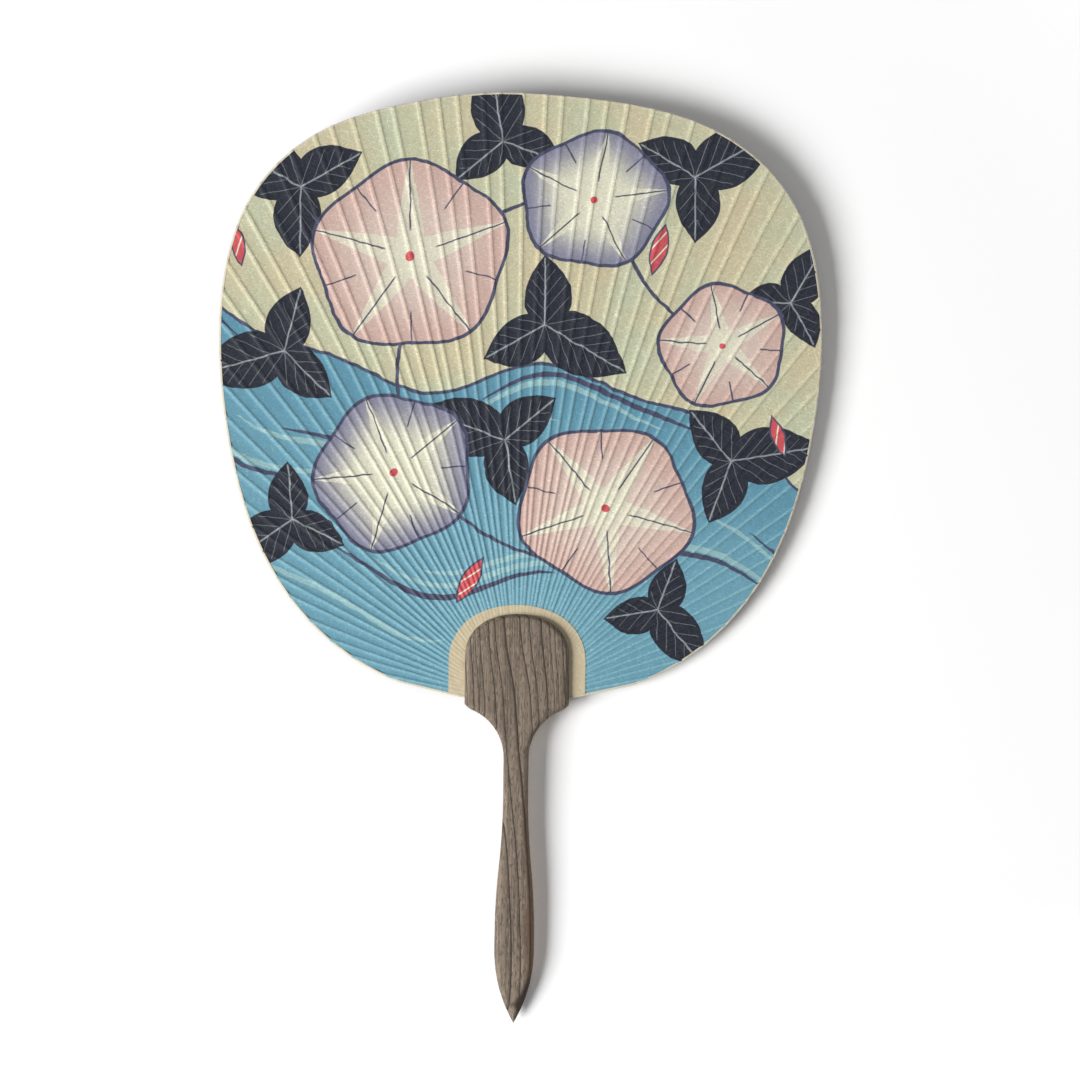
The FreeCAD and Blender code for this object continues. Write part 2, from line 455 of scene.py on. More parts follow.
def handle_profile():
    """Rows up the handle, with height, half width and half thickness, and its slot, as the CAD has them."""
    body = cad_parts["handle"].data
    tree = BVHTree.FromPolygons([v.co for v in body.vertices], [p.vertices for p in body.polygons])
    slot_probe = Vector((0, 0, handle_high.z - edge_bevel))
    slot_half = tree.ray_cast(slot_probe, Vector((0, 1, 0)))[0].y
    slot_floor = tree.ray_cast(slot_probe, Vector((0, 0, -1)))[0].z
    even = np.linspace(0, 1, handle_rows)
    crowded = (1 - np.cos(math.pi * even)) / 2
    share = even + row_crowding_share * (crowded - even)
    heights = handle_low.z + end_margin + (handle_high.z - handle_low.z - 2 * end_margin) * share
    widths = []
    depths = []
    for z in heights:
        y = probe_depth if z > slot_floor - slot_margin else 0
        widths.append(tree.ray_cast(Vector((1, y, z)), Vector((-1, 0, 0)))[0].x)
        depths.append(tree.ray_cast(Vector((0, 1, z)), Vector((0, -1, 0)))[0].y)
    return heights, np.array(widths), np.array(depths), slot_half, slot_floor


def handle_section(height, width, slope, depth):
    """Closed loop round the handle at one height, from the left of the front over the right wall and back."""
    across = width * np.sin(np.linspace(-math.pi / 2, math.pi / 2, handle_columns))
    edge = (width - np.abs(across)) / math.hypot(1, slope)
    lack = edge_bevel - edge
    bevel = (lack + np.sqrt(lack * lack + edge_softness**2)) / 2
    depths = np.maximum(depth - bevel, depth * least_depth_share)
    wall = np.linspace(-1, 1, wall_columns + 2)[1:-1]
    loop = [(x, -y, height) for x, y in zip(across, depths)]
    loop += [(width, y * depths[-1], height) for y in wall]
    loop += [(x, y, height) for x, y in zip(across[::-1], depths[::-1])]
    loop += [(-width, -y * depths[0], height) for y in wall]
    return loop


def carve(piece):
    """Moves the surface inwards by the relief of the grain, which fades out at both ends."""
    normals = [vertex.normal.copy() for vertex in piece.data.vertices]
    for vertex, normal in zip(piece.data.vertices, normals):
        from_end = min(vertex.co.z - handle_low.z, handle_high.z - vertex.co.z)
        vertex.co += normal * min(1, from_end / grain_fade) * min(grain_height(vertex.co), 0)


def split_large_faces(mesh):
    """Splits every face of more than four corners into triangles."""
    shape = bmesh.new()
    shape.from_mesh(mesh)
    bmesh.ops.triangulate(shape, faces=[face for face in shape.faces if len(face.verts) > quad_corners])
    shape.to_mesh(mesh)
    shape.free()


def cut_slot(piece, half, floor):
    """Saws the slot through the head."""
    corners = [
        (x, y, z)
        for x in (saw_overreach * handle_low.x, saw_overreach * handle_high.x)
        for y in (-half, half)
        for z in (floor, saw_overreach * handle_high.z)
    ]
    sides = ((0, 1, 3, 2), (4, 6, 7, 5), (0, 4, 5, 1), (2, 3, 7, 6), (0, 2, 6, 4), (1, 5, 7, 3))
    saw = mesh_object("saw", corners, sides, piece.data.materials[0])
    cut = piece.modifiers.new("slot", "BOOLEAN")
    cut.operation = "DIFFERENCE"
    cut.solver = "EXACT"
    cut.object = saw
    graph = bpy.context.evaluated_depsgraph_get()
    mesh = bpy.data.meshes.new_from_object(piece.evaluated_get(graph))
    piece.modifiers.clear()
    split_large_faces(mesh)
    mesh.set_sharp_from_angle(angle=sharp_angle)
    piece.data = mesh
    bpy.data.objects.remove(saw)


def carved_handle(name, material, node):
    """Wooden handle with softened bevels, worn grain and a sawn slot."""
    heights, widths, depths, slot_half, slot_floor = handle_profile()
    slopes = np.gradient(widths, heights)
    loops = [handle_section(*row) for row in zip(heights, widths, slopes, depths)]
    faces, first, last = tube_faces(len(loops), len(loops[0]))
    points = [point for loop in loops for point in loop]
    tip = len(points)
    crown = tip + 1
    points += [(0, 0, handle_low.z), (0, 0, handle_high.z)]
    faces += [(following, here, tip) for here, following in pairs_round(first)]
    faces += [(here, following, crown) for here, following in pairs_round(last)]
    piece = mesh_object(name, points, faces, material)
    carve(piece)
    cut_slot(piece, slot_half, slot_floor)
    set_attribute(piece, "ring", [ring_at(vertex.co) for vertex in piece.data.vertices])
    finish_piece(piece, node)


# Shader formulas

# How a surface takes light: base roughness, what the grain adds to it, height and strength of relief, gloss
Finish = namedtuple("Finish", "roughness grain_roughness relief_height relief_strength specular")


def srgb(red, green, blue):
    """Colour as seen on screen, 0 to 255, as the linear colour that a shader takes."""
    parts = [part / 255 for part in (red, green, blue)]
    return tuple(p / 12.92 if p <= 0.04045 else ((p + 0.055) / 1.055) ** 2.4 for p in parts) + (1,)


class Term:
    """Output of a node, with the signs of arithmetic."""

    def __init__(self, net, socket):
        self.net = net
        self.socket = socket

    def __add__(self, other):
        return self.net.math("ADD", self, other)

    __radd__ = __add__

    def __sub__(self, other):
        return self.net.math("SUBTRACT", self, other)

    def __rsub__(self, other):
        return self.net.math("SUBTRACT", other, self)

    def __mul__(self, other):
        return self.net.math("MULTIPLY", self, other)

    __rmul__ = __mul__

    def __truediv__(self, other):
        return self.net.math("DIVIDE", self, other)

    def __neg__(self):
        return self.net.math("MULTIPLY", self, -1)

    def __abs__(self):
        return self.net.math("ABSOLUTE", self)

    def __pow__(self, other):
        return self.net.math("POWER", self, other)


class Net:
    """Node tree of a new material, written as formulas."""

    def __init__(self, name):
        self.material = bpy.data.materials.new(name)
        self.material.use_nodes = True
        self.tree = self.material.node_tree
        self.tree.nodes.clear()
        self.place = self.node("ShaderNodeTexCoord").outputs["Object"]

    def node(self, kind, **settings):
        made = self.tree.nodes.new(kind)
        for name, value in settings.items():
            setattr(made, name, value)
        return made

    def feed(self, socket, value):
        """Links a term to a socket, or sets the socket to a plain value."""
        if isinstance(value, Term):
            self.tree.links.new(value.socket, socket)
        else:
            socket.default_value = value

    def math(self, operation, *values, clamp=False):
        made = self.node("ShaderNodeMath", operation=operation, use_clamp=clamp)
        for socket, value in zip(made.inputs, values):
            self.feed(socket, value)
        return Term(self, made.outputs[0])

    def sin(self, value):
        return self.math("SINE", value)

    def cos(self, value):
        return self.math("COSINE", value)

    def least(self, first, second):
        return self.math("MINIMUM", first, second)

    def most(self, first, second):
        return self.math("MAXIMUM", first, second)

    def length(self, first, second):
        return self.math("SQRT", first * first + second * second)

    def wrap(self, value, reach):
        """Value brought into -reach to reach."""
        return self.math("WRAP", value, reach, -reach)

    def smooth(self, value, start, end):
        """Smooth rise from 0 to 1 as the value goes from start to end, whichever is larger."""
        made = self.node("ShaderNodeMapRange", interpolation_type="SMOOTHSTEP")
        for socket, number in zip(made.inputs, (value, start, end, 0.0, 1.0)):
            self.feed(socket, number)
        return Term(self, made.outputs[0])

    def mix(self, share, first, second, blend="MIX"):
        """Two colours by the share of the second."""
        made = self.node("ShaderNodeMix", data_type="RGBA", blend_type=blend)
        for socket, value in zip((made.inputs[0], made.inputs[6], made.inputs[7]), (share, first, second)):
            self.feed(socket, value)
        return Term(self, made.outputs[2])

    def tint(self, colour, tone, value, span, share):
        """Colour that takes up to a share of a tone as a value goes through a span."""
        return self.mix(self.smooth(value, *span) * share, colour, tone)

    def parts(self):
        """The three object coordinates."""
        made = self.node("ShaderNodeSeparateXYZ")
        self.tree.links.new(self.place, made.inputs[0])
        return [Term(self, socket) for socket in made.outputs]

    def noise(self, grain, turn=(0, 0, 0), detail=2.0, rough=0.5):
        """Noise with one grain for all axes or a grain for each, after a turn."""
        turned = self.node("ShaderNodeMapping", vector_type="TEXTURE")
        turned.inputs["Rotation"].default_value = turn
        scaled = self.node("ShaderNodeMapping")
        scaled.inputs["Scale"].default_value = grain if isinstance(grain, tuple) else (grain, grain, grain)
        made = self.node("ShaderNodeTexNoise")
        made.inputs["Scale"].default_value = 1.0
        made.inputs["Detail"].default_value = detail
        made.inputs["Roughness"].default_value = rough
        self.tree.links.new(self.place, turned.inputs["Vector"])
        self.tree.links.new(turned.outputs[0], scaled.inputs["Vector"])
        self.tree.links.new(scaled.outputs[0], made.inputs["Vector"])
        return Term(self, made.outputs[0])

    def attribute(self, name):
        """Number that the mesh carries on every vertex."""
        made = self.node("ShaderNodeAttribute", attribute_name=name)
        return Term(self, made.outputs["Fac"])

    def surface(self, colour, grain, relief, finish):
        """Closes the material with one shader."""
        bump = self.node("ShaderNodeBump")
        bump.inputs["Strength"].default_value = finish.relief_strength
        bump.inputs["Distance"].default_value = finish.relief_height
        self.feed(bump.inputs["Height"], relief)
        shader = self.node("ShaderNodeBsdfPrincipled")
        shader.inputs["Specular IOR Level"].default_value = finish.specular
        self.feed(shader.inputs["Base Color"], colour)
        self.feed(shader.inputs["Roughness"], finish.roughness + finish.grain_roughness * grain)
        self.tree.links.new(bump.outputs[0], shader.inputs["Normal"])
        out = self.node("ShaderNodeOutputMaterial")
        self.tree.links.new(shader.outputs[0], out.inputs["Surface"])
        return self.material


# Colours
cream = srgb(199, 206, 176)
cream_warm = srgb(213, 202, 167)
cream_pale = srgb(232, 230, 206)
cream_back = srgb(214, 207, 178)
water_blue = srgb(110, 164, 183)
water_deep = srgb(96, 151, 174)
water_pale = srgb(150, 190, 194)
petal_pink = srgb(223, 202, 190)
petal_rose = srgb(210, 175, 164)
petal_indigo = srgb(92, 94, 144)
leaf_black = srgb(12, 20, 38)
vein_grey = srgb(150, 158, 162)
bud_red = srgb(210, 84, 92)
ink = srgb(66, 70, 96)
brightened = (1.4, 1.4, 1.4, 1)
collar_beige = srgb(217, 202, 170)
paper_shade = srgb(200, 184, 150)
strip_beige = srgb(228, 220, 198)
bamboo_pale = srgb(206, 182, 130)
bamboo_dark = srgb(176, 148, 98)
wood_pale = srgb(172, 158, 141)
wood_light = srgb(146, 131, 115)
wood_middle = srgb(93, 81, 70)
wood_dark = srgb(48, 39, 31)
wood_brown = srgb(92, 66, 48)
wood_stain = srgb(44, 31, 24)

# Paper: each tone has the span of noise or ridge through which it comes, and its most as a share
fine_grain = 1300
mottle_grain = 45
mottle_span = (0.35, 0.75)
mottle_share = 0.22
pit_span = (0.5, 0.2)
pit_share = 0.35
fibre_grain = (150, 150, 1900)
fibre_degrees = (20, 75, 140)
fibre_span = (0.56, 0.70)
fibre_share = 0.16
fibre_relief = 0.5
crinkle_grain = 240
face_crinkle_relief = 3
thin_crinkle_relief = 7
back_panel_share = 0.6
back_crest_span = (0.7, 1.0)
back_crest_share = 0.2
paper_finish = Finish(
    roughness=0.46, grain_roughness=0.15, relief_height=0.15 * MM, relief_strength=0.45, specular=0.22
)

Grain = namedtuple("Grain", "fine mottle fibres crinkle")


def paper_grain(net):
    """Fine grain, slow mottling, crossing fibres and crinkles of handmade paper."""
    threads = []
    for degrees in fibre_degrees:
        streak = net.noise(fibre_grain, turn=(0, math.radians(degrees), 0))
        threads.append(net.smooth(streak, *fibre_span))
    return Grain(
        fine=net.noise(fine_grain, detail=3, rough=0.6),
        mottle=net.noise(mottle_grain, detail=3),
        fibres=reduce(net.most, threads),
        crinkle=net.noise(crinkle_grain),
    )


def aged(net, colour, grain):
    """Paper with its mottling, pits and pale fibres."""
    colour = net.tint(colour, paper_shade, grain.mottle, mottle_span, mottle_share)
    colour = net.tint(colour, paper_shade, grain.fine, pit_span, pit_share)
    return net.mix(grain.fibres * fibre_share, colour, cream_pale)


def paper_surface(net, colour, grain, crinkle_relief):
    """Matt paper with its grain, fibres and crinkles in relief."""
    relief = grain.fine + fibre_relief * grain.fibres + crinkle_relief * grain.crinkle
    return net.surface(colour, grain.fine, relief, paper_finish)


def thin_paper_material(name, colour):
    """Thin pasted paper, more crinkled than the faces."""
    net = Net(name)
    grain = paper_grain(net)
    return paper_surface(net, aged(net, colour, grain), grain, thin_crinkle_relief)


def back_paper_material():
    """Plain washi, a little different from panel to panel and paler on the ridges."""
    net = Net("washi_back")
    grain = paper_grain(net)
    colour = net.mix(net.attribute("panel") * back_panel_share, cream_back, cream)
    colour = aged(net, colour, grain)
    colour = net.tint(colour, cream_pale, net.attribute("ridge"), back_crest_span, back_crest_share)
    return paper_surface(net, colour, grain, face_crinkle_relief)


# Print on the front: its lines, the hand's tremor in them, the wear, and a painted highlight on the ridges
print_softness = 0.3
line_half = 0.75
fine_line_half = 0.32
tremor_grain = 160
tremor_reach = 1.6
warm_grain = 30
warm_span = (0.4, 0.6)
warm_panel_share = 0.35
crest_span = (0.5, 1.0)
crest_wear_and_highlight_share = 0.3
speck_grain = (650, 650, 1500)
speck_span = (0.56, 0.68)
speck_light_share = 0.6
speck_haze_share = 0.015
fibre_light_share = 0.4
fibre_haze_share = 0.03
haze_share = 0.01
ink_pit_span = (0.5, 0.25)
ink_pit_share = 0.2

# Stream: the bank's waves have a height, a length and a start; the currents run at these depths below it
bank_height = 4
bank_slope = -0.26
bank_waves = ((13, 33, 0.4), (4, 13, 1.1))
deep_span = (0, 70)
# Pale blue on the ridge crests: partly wear, partly a painted highlight.
water_crest_wear_and_highlight_share = 0.32
current_depths = (8, 12, 27, 31, 35, 52, 56, 74, 78, 82, 98)
current_bend = 5
bend_length = 30
bend_turn = 0.06
swell_length = 31
swell_turn = 0.07
swell_step = 0.35
current_half = 1.25
current_fade = (0, 0.1)
inked_every = 3

# Flower: spans and reaches in shares of its radius
petals = 5
petal_turn = math.pi / petals
petal_wave_share = 0.05
petal_edge_span = (0.35, 1.0)
petal_edge_share = 0.8
star_half_share = 0.2
star_reach_share = 1.04
star_pale_share = 0.8
vein_start_span = (0.24, 0.3)
side_vein_start_span = (0.62, 0.66)
throat_span = (0.26, 0.08)
heart_share = 0.05

# Leaf: the lobes' outline in shares of its size
leaf_lobes = 3
lobe_turn = math.pi / leaf_lobes
lobe_tip_share = 1.06
lobe_cut_share = 0.72
lobe_curve = 0.8
leaf_round_share = 0.86
leaf_point_share = 0.18
vein_margin_span = (0.6, 2.0)
fine_vein_margin_span = (1.5, 3.0)
fine_vein_gap = 2.9
fine_vein_lean = 1.4
fine_vein_half = 0.2
fine_vein_share = 0.5

# Bud
bud_half_share = 0.17
twist_gap = 2.2
twist_lean = 0.5

# Places on the face; turns, starts and sweeps are in degrees
# Vine: middle of the arc, radius, start and sweep
vine = (
    ((25, 8), 76, 70, 232),
    ((96, 78), 54, 176, 80),
)
# Leaves: place, size and turn
leaves = (
    ((-92, 86), 36, 150),
    ((-98, 18), 34, 196),
    ((-8, 106), 32, 100),
    ((10, 30), 36, -30),
    ((72, 92), 34, 30),
    ((-94, -52), 30, 215),
    ((-6, -18), 34, 160),
    ((88, -26), 34, 10),
    ((58, -88), 28, -50),
    ((112, 40), 26, 60),
)
# Flowers: place, radius, turn, squash, colour and edge colour
blooms = (
    ((-46, 58), 40, 20, 0.95, petal_pink, petal_rose),
    ((30, 82), 30, 8, 0.92, cream_pale, petal_indigo),
    ((-52, -32), 33, 40, 0.94, cream_pale, petal_indigo),
    ((36, -46), 36, -15, 0.93, petal_pink, petal_rose),
    ((84, 22), 26, 30, 0.95, petal_pink, petal_rose),
)
# Buds: place, length and turn
buds = (
    ((54, 50), 24, 75),
    ((-14, -66), 24, -120),
    ((-116, 52), 20, 100),
    ((104, -6), 20, -70),
)


def cover(net, distance):
    """1 inside a shape and 0 outside, with the soft edge of a print."""
    return net.math("MULTIPLY_ADD", distance, -1 / print_softness, 0.5, clamp=True)


def turned_to(u, v, place, degrees):
    """Coordinates from a place on the face, along and across a direction."""
    turn = math.radians(degrees)
    du = u - place[0]
    dv = v - place[1]
    along = du * math.cos(turn) + dv * math.sin(turn)
    across = dv * math.cos(turn) - du * math.sin(turn)
    return along, across


def water(net, u, v, crest, base):
    """Stream below a wavy bank, with a dark bank line, lines of current that swell and run out, and ridges
    paler, partly as wear and partly as a painted highlight.
    """
    bank = bank_height + bank_slope * u
    for height, length, start in bank_waves:
        bank = bank + height * net.sin(u / length + start)
    depth = bank - v
    colour = net.mix(net.smooth(depth, *deep_span), water_deep, water_blue)
    # Ridge crests turned pale blue: partly wear, partly a painted highlight.
    colour = net.mix(water_crest_wear_and_highlight_share * crest, colour, water_pale)
    for number, away in enumerate(current_depths):
        bend = current_bend * net.sin(u / bend_length + bend_turn * away)
        swell = net.sin(u / swell_length + swell_turn * away + swell_step * number)
        half = current_half * net.math("SQRT", net.most(swell, 0))
        line = cover(net, abs(depth - away + bend) - half)
        tone = water_pale if number % inked_every else ink
        colour = net.mix(line * net.smooth(swell, *current_fade), colour, tone)
    colour = net.mix(cover(net, abs(depth) - line_half), colour, ink)
    return net.mix(cover(net, -depth - line_half), base, colour)


def stem(net, u, v, base, centre, radius, start, sweep):
    """Arc of a vine, from a start through a sweep."""
    du = u - centre[0]
    dv = v - centre[1]
    off = abs(net.length(du, dv) - radius) - line_half
    turn = net.wrap(net.math("ARCTAN2", dv, du) - math.radians(start + sweep / 2), math.pi)
    end = (abs(turn) - math.radians(sweep / 2)) * radius
    return net.mix(cover(net, net.most(off, end)), base, ink)


def bloom(net, u, v, base, place, radius, turn, squash, petal, edge):
    """Round five-fold flower with a pale star, a bright throat and dark outlines."""
    along, across = turned_to(u, v, place, turn)
    across = across / squash
    reach = net.length(along, across)
    angle = net.math("ARCTAN2", across, along)
    share = reach / (radius * (1 + petal_wave_share * net.cos(angle * petals)))
    off = abs(net.wrap(angle, petal_turn)) * reach
    side_off = abs(net.wrap(angle + petal_turn, petal_turn)) * reach
    colour = net.tint(petal, edge, share, petal_edge_span, petal_edge_share)
    star = cover(net, off - star_half_share * radius * (star_reach_share - share))
    colour = net.mix(star * star_pale_share, colour, cream_pale)
    for away, span in ((off, vein_start_span), (side_off, side_vein_start_span)):
        vein = net.least(cover(net, away - fine_line_half), net.smooth(share, *span))
        colour = net.mix(vein, colour, ink)
    colour = net.mix(net.smooth(share, *throat_span), colour, cream_pale)
    colour = net.mix(cover(net, reach - heart_share * radius), colour, bud_red)
    outside = (share - 1) * radius
    colour = net.mix(cover(net, -outside - line_half), colour, ink)
    return net.mix(cover(net, outside - line_half), base, colour)


def leaf(net, u, v, base, place, size, turn):
    """Dark leaf with three pointed lobes and pale veins."""
    along, across = turned_to(u, v, place, turn)
    reach = net.length(along, across)
    angle = net.math("ARCTAN2", across, along)
    away = abs(net.wrap(angle, lobe_turn))
    lobe = lobe_tip_share - lobe_cut_share * (away / lobe_turn) ** lobe_curve
    edge = size * lobe * (leaf_round_share + leaf_point_share * net.cos(angle))
    off = away * reach
    margin = edge - reach
    vein = net.least(cover(net, off - fine_line_half), net.smooth(margin, *vein_margin_span))
    ripple = abs(net.wrap(reach - fine_vein_lean * off, fine_vein_gap))
    fine = net.least(cover(net, ripple - fine_vein_half), net.smooth(margin, *fine_vein_margin_span))
    colour = net.mix(net.most(vein, fine * fine_vein_share), leaf_black, vein_grey)
    return net.mix(cover(net, -margin), base, colour)


def bud(net, u, v, base, place, length, turn):
    """Furled red bud with a twist of pale lines."""
    along, across = turned_to(u, v, place, turn)
    swell = net.sin(net.math("DIVIDE", along, length, clamp=True) * math.pi)
    outside = abs(across) - bud_half_share * length * swell + print_softness
    twist = abs(net.wrap(along * twist_lean + across, twist_gap))
    colour = net.mix(cover(net, twist - fine_line_half), bud_red, cream_pale)
    colour = net.mix(cover(net, -outside - line_half), colour, ink)
    return net.mix(cover(net, outside), base, colour)


def worn_print_and_ridge_highlight(net, colour, grain, crest):
    """Print with lighter specks and fibres, a thin haze and dark pits, and ridges made lighter, partly as
    wear and partly as a painted highlight.
    """
    speck = net.smooth(net.noise(speck_grain), *speck_span)
    light = speck_light_share * speck + fibre_light_share * grain.fibres
    colour = net.mix(light, colour, brightened, "MULTIPLY")
    haze = haze_share + fibre_haze_share * grain.fibres + speck_haze_share * speck
    colour = net.mix(haze, colour, cream_pale)
    colour = net.tint(colour, ink, grain.fine, ink_pit_span, ink_pit_share)
    # Ridge crests made lighter: partly wear, partly a painted highlight on each ridge.
    return net.mix(crest_wear_and_highlight_share * crest, colour, brightened, "MULTIPLY")


def front_paper_material():
    """Printed washi: summer flowers over a stream, in flat colours with dark outlines."""
    net = Net("washi_print")
    x, _, z = net.parts()
    grain = paper_grain(net)
    crest = net.smooth(net.attribute("ridge"), *crest_span)
    cloud = net.smooth(net.noise(warm_grain, detail=3), *warm_span)
    warmth = warm_panel_share * net.attribute("panel") + (1 - warm_panel_share) * cloud
    tremor = tremor_reach * (net.noise(tremor_grain) - 0.5)
    u = x / MM + tremor
    v = (z - face_middle) / MM + tremor
    paper = aged(net, net.mix(warmth, cream, cream_warm), grain)
    colour = water(net, u, v, crest, paper)
    for draw, shapes in ((stem, vine), (leaf, leaves), (bud, buds), (bloom, blooms)):
        for shape in shapes:
            colour = draw(net, u, v, colour, *shape)
    return paper_surface(net, worn_print_and_ridge_highlight(net, colour, grain, crest), grain, face_crinkle_relief)


# Wood: each tone has the span of ring or noise through which it comes, and its most as a share
ring_tremor = 0.10
ring_tremor_grain = (300, 300, 40)
late_span = (0.3, 0.97)
late_share = 0.6
line_span = (0.84, 0.97)
line_end_span = (0.04, 0.0)
line_share = 0.9
line_groove = 0.4
streak_grain = (800, 800, 16)
streak_span = (0.42, 0.62)
streak_share = 0.5
wood_fibre_grain = (1900, 1900, 34)
pale_fibre_span = (0.52, 0.66)
pale_fibre_share = 0.7
dark_fibre_span = (0.47, 0.33)
dark_fibre_share = 0.55
fleck_grain = (1500, 1500, 260)
fleck_span = (0.55, 0.66)
fleck_share = 0.5
pore_grain = (1700, 1700, 420)
pore_span = (0.56, 0.66)
pore_share = 0.5
pore_groove = 0.7
wood_finish = Finish(
    roughness=0.55, grain_roughness=0.25, relief_height=0.2 * MM, relief_strength=0.6, specular=0.3
)

# Stains of the wood: distances across and along the grip over which they come
blotch_grain = (160, 160, 60)
brown_reach = 8 * MM
brown_span = (0.8, 1.35)
brown_heights = (85 * MM, 65 * MM)
brown_share = 0.6
stain_reach = 7 * MM
stain_height = 8 * MM
stain_length = 11 * MM
stain_span = (0.2, 0.6)
stain_share = 0.92

# Bamboo
bamboo_fibre_grain = 1600
bamboo_fibre_span = (0.35, 0.7)
bamboo_cloud_grain = 120
bamboo_cloud_span = (0.4, 0.7)
bamboo_cloud_share = 0.3
bamboo_finish = Finish(
    roughness=0.55, grain_roughness=0.2, relief_height=0.1 * MM, relief_strength=0.4, specular=0.3
)


def stained(net, colour):
    """Wood browned along one side of the grip, with a dark stain at the tip."""
    x, _, z = net.parts()
    blotch = net.noise(blotch_grain, detail=3)
    brown = net.smooth(blotch + x / brown_reach, *brown_span) * net.smooth(z, *brown_heights)
    colour = net.mix(brown * brown_share, colour, wood_brown)
    away = abs(z - handle_low.z - stain_height) / stain_length
    return net.tint(colour, wood_stain, blotch + x / stain_reach - away, stain_span, stain_share)


def wood_material():
    """Weathered open-grained wood: rings that darken to a sharp line, fibres, flecks, pores and stains."""
    net = Net("weathered_wood")
    ring = net.attribute("ring") + ring_tremor * net.noise(ring_tremor_grain, detail=3)
    share = net.math("FRACT", ring)
    line = net.most(net.smooth(share, *line_span), net.smooth(share, *line_end_span))
    streak = net.noise(streak_grain, detail=3)
    fibre = net.noise(wood_fibre_grain, detail=3, rough=0.65)
    pores = net.smooth(net.noise(pore_grain), *pore_span)
    colour = net.tint(wood_light, wood_middle, share, late_span, late_share)
    colour = net.tint(colour, wood_middle, streak, streak_span, streak_share)
    colour = net.tint(colour, wood_light, fibre, pale_fibre_span, pale_fibre_share)
    colour = net.tint(colour, wood_dark, fibre, dark_fibre_span, dark_fibre_share)
    colour = net.tint(colour, wood_pale, net.noise(fleck_grain), fleck_span, fleck_share)
    colour = net.mix(line * line_share, colour, wood_dark)
    colour = net.mix(pores * pore_share, colour, wood_dark)
    relief = fibre - line_groove * line - pore_groove * pores
    return net.surface(stained(net, colour), fibre, relief, wood_finish)


def bamboo_material():
    """Split bamboo with fine fibres and pale patches."""
    net = Net("split_bamboo")
    fibre = net.noise(bamboo_fibre_grain, detail=3)
    cloud = net.noise(bamboo_cloud_grain)
    colour = net.mix(net.smooth(fibre, *bamboo_fibre_span), bamboo_pale, bamboo_dark)
    colour = net.tint(colour, cream_pale, cloud, bamboo_cloud_span, bamboo_cloud_share)
    return net.surface(colour, fibre, fibre, bamboo_finish)


# Pieces

def dress():
    """Makes the pieces that stand for nodes, and gives the ribs their bamboo."""
    collar = thin_paper_material("collar_paper_finish", collar_beige)
    strip = thin_paper_material("strip_paper_finish", strip_beige)
    face_sheet("printed_front", FRONT, front_paper_material(), "front_paper")
    face_sheet("plain_back", BACK, back_paper_material(), "back_paper")
    collar_sheet("front_collar", FRONT, collar, "front_collar_paper")
    collar_sheet("back_collar", BACK, collar, "back_collar_paper")
    rim_strip("rim_strip", strip, "rim_binding")
    carved_handle("carved_handle", wood_material(), "handle")
    bamboo = bamboo_material()
    for name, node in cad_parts.items():
        if name.startswith("rib_"):
            node.data.materials.clear()
            node.data.materials.append(bamboo)


# Stage, light and camera
floor_drop = 42 * MM
floor_reach = 0.9
floor_glow = 0.4
wall_gap = 7 * MM
wall_turn = math.radians(-2.3)
wall_lean = math.radians(2.0)
wall_reach = 0.36
fade_start_share = 0.58
stage_white = (1.2, 1.2, 1.2, 1)
card_gap = 1.5 * MM
card_grey = (0.05, 0.05, 0.05, 1)
plain_white = (1, 1, 1, 1)
world_light = 0.15
key_off = (2.5, 2.1, 1.1)
key_power = 134
key_size = 1.8
fill_off = (0.4, 1.6, 0.5)
fill_power = 2.5
fill_size = 1.2
photo_scale = 0.41528 * MM
photo_size = 1080
hub_pixel = (518.4, 703.8)
camera_roll = math.radians(0.6)
camera_lens = 100
camera_sensor = 36


def one_sided(net, shader, share):
    """Closes a stage material: the shader by its share from the front, and clear from behind."""
    facing_front = 1 - Term(net, net.node("ShaderNodeNewGeometry").outputs["Backfacing"])
    clear = net.node("ShaderNodeBsdfTransparent")
    blend = net.node("ShaderNodeMixShader")
    net.feed(blend.inputs[0], facing_front * share)
    net.tree.links.new(clear.outputs[0], blend.inputs[1])
    net.tree.links.new(shader.outputs[0], blend.inputs[2])
    out = net.node("ShaderNodeOutputMaterial")
    net.tree.links.new(blend.outputs[0], out.inputs["Surface"])
    return net.material


def catcher_material(name, reach, glow):
    """White surface that takes the object's shadow and fades out to the white world."""
    net = Net(name)
    x, y, _ = net.parts()
    diffuse = net.node("ShaderNodeBsdfDiffuse")
    diffuse.inputs["Color"].default_value = stage_white
    shine = net.node("ShaderNodeEmission")
    shine.inputs["Strength"].default_value = glow
    both = net.node("ShaderNodeAddShader")
    net.tree.links.new(diffuse.outputs[0], both.inputs[0])
    net.tree.links.new(shine.outputs[0], both.inputs[1])
    return one_sided(net, both, net.smooth(net.length(x, y), reach, fade_start_share * reach))


def stage_piece(piece, camera, diffuse):
    """Says which rays see a piece of the stage. It never throws a shadow."""
    piece.visible_camera = camera
    piece.visible_diffuse = diffuse
    piece.visible_glossy = False
    piece.visible_transmission = False
    piece.visible_shadow = False


def stage_plane(name, place, turn, reach, glow=0):
    """Square sheet of the stage, seen by the camera only."""
    corners = ((-reach, -reach, 0), (reach, -reach, 0), (reach, reach, 0), (-reach, reach, 0))
    plane = mesh_object(name, corners, [(0, 1, 2, 3)], catcher_material(name + "_white", reach, glow))
    plane.location = place
    plane.rotation_euler = turn
    stage_piece(plane, camera=True, diffuse=False)


def shade_card():
    """Dark card behind the face, turned to the backdrop, so that the lit back leaves the shadow dark."""
    net = Net("card_dark")
    dark = net.node("ShaderNodeBsdfDiffuse")
    dark.inputs["Color"].default_value = card_grey
    level = face_high.y + card_gap
    points = [(x, level, hub_height + z) for x, z in face_outline]
    card = mesh_object("shade_card", points, [range(len(points))], one_sided(net, dark, 1))
    if card.data.polygons[0].normal.y < 0:
        card.data.flip_normals()
    stage_piece(card, camera=False, diffuse=True)


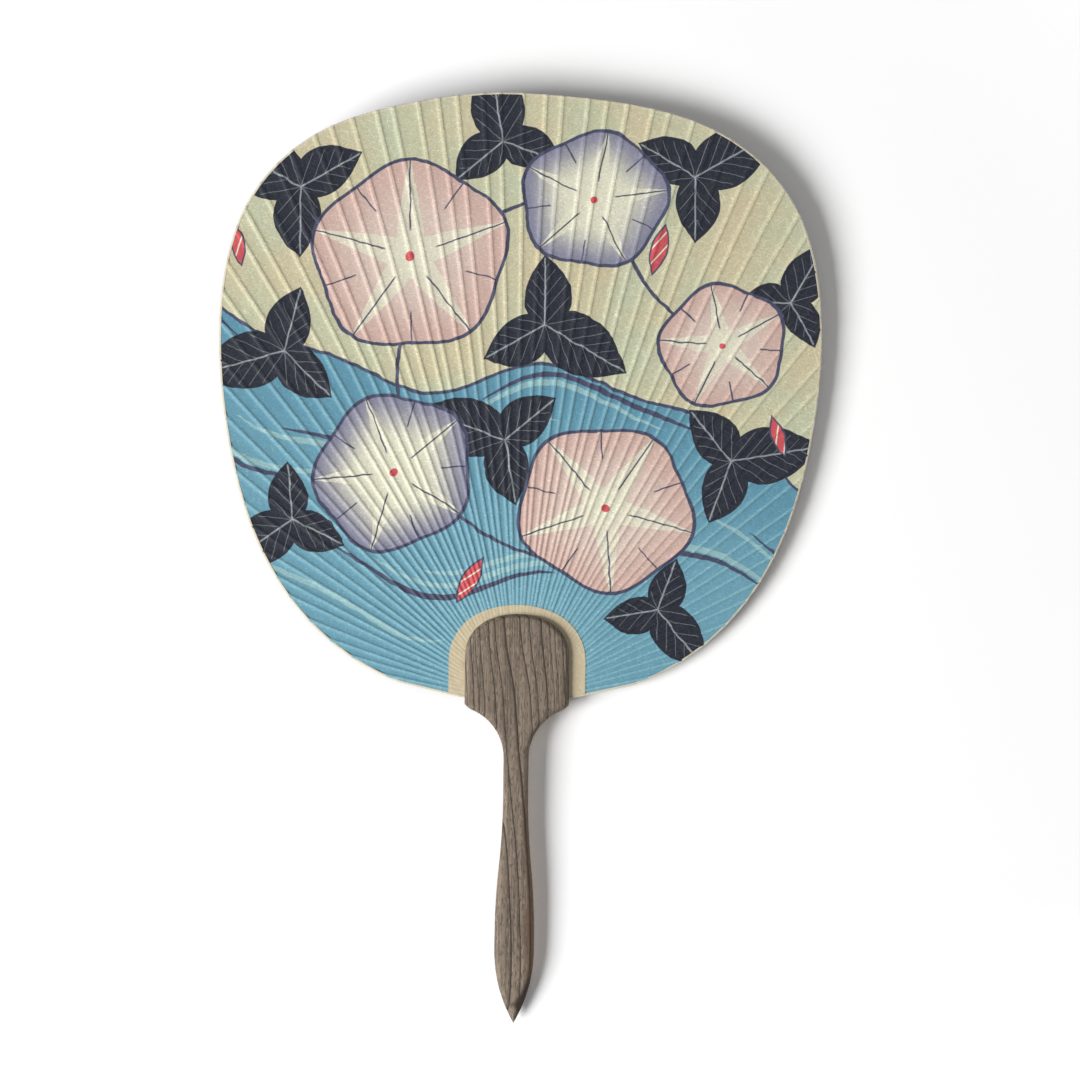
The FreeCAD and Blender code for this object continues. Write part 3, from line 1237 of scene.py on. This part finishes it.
def set_stage():
    """Floor under the fan, and a backdrop close behind it that takes its shadow."""
    stage_plane("floor", (0, 0, cad_low.z - floor_drop), (0, 0, 0), floor_reach, floor_glow)
    behind = (0, cad_high.y + wall_gap, (cad_low.z + cad_high.z) / 2)
    stage_plane("backdrop", behind, (math.pi / 2 - wall_lean, 0, wall_turn), wall_reach)
    shade_card()


def white_world():
    """White for the camera and in reflections, and a soft even light for everything else."""
    world = bpy.data.worlds.new("studio")
    bpy.context.scene.world = world
    world.use_nodes = True
    tree = world.node_tree
    tree.nodes.clear()
    path = tree.nodes.new("ShaderNodeLightPath")
    seen = path.outputs["Is Camera Ray"]
    for other in ("Is Glossy Ray", "Is Transmission Ray"):
        join = tree.nodes.new("ShaderNodeMath")
        join.operation = "MAXIMUM"
        tree.links.new(seen, join.inputs[0])
        tree.links.new(path.outputs[other], join.inputs[1])
        seen = join.outputs[0]
    choose = tree.nodes.new("ShaderNodeMixShader")
    tree.links.new(seen, choose.inputs[0])
    for socket, strength in ((choose.inputs[1], world_light), (choose.inputs[2], 1)):
        light = tree.nodes.new("ShaderNodeBackground")
        light.inputs["Color"].default_value = plain_white
        light.inputs["Strength"].default_value = strength
        tree.links.new(light.outputs[0], socket)
    out = tree.nodes.new("ShaderNodeOutputWorld")
    tree.links.new(choose.outputs[0], out.inputs["Surface"])


def lamp(name, place, power, size):
    """Soft square lamp turned to the middle of the face."""
    data = bpy.data.lights.new(name, "AREA")
    data.energy = power
    data.size = size
    made = bpy.data.objects.new(name, data)
    made.location = place
    made.rotation_euler = (Vector((0, 0, face_middle)) - Vector(place)).to_track_quat("-Z", "Y").to_euler()
    bpy.context.scene.collection.objects.link(made)


def light_stage():
    """Raking key lamp, which brings out the ridges, and a soft fill, before the fan and behind it."""
    white_world()
    for name, side in (("front", FRONT), ("back", BACK)):
        key = (side * key_off[0], side * key_off[1], face_middle + side * key_off[2])
        fill = (-side * fill_off[0], side * fill_off[1], face_middle + fill_off[2])
        lamp("key_" + name, key, key_power, key_size)
        lamp("fill_" + name, fill, fill_power, fill_size)


def photo_camera():
    """Camera square to the face, with the photograph's framing."""
    middle = photo_size / 2
    target_x = (middle - hub_pixel[0]) * photo_scale
    target_z = hub_height + (hub_pixel[1] - middle) * photo_scale
    distance = photo_size * photo_scale * camera_lens / camera_sensor
    data = bpy.data.cameras.new("camera")
    data.lens = camera_lens
    data.sensor_width = camera_sensor
    made = bpy.data.objects.new("camera", data)
    upright = Matrix.Rotation(math.pi / 2, 4, "X") @ Matrix.Rotation(camera_roll, 4, "Z")
    made.matrix_world = Matrix.Translation((target_x, -distance, target_z)) @ upright
    bpy.context.scene.collection.objects.link(made)
    bpy.context.scene.camera = made


dress()
light_stage()
set_stage()
photo_camera()
bpy.context.scene.view_settings.view_transform = "Standard"
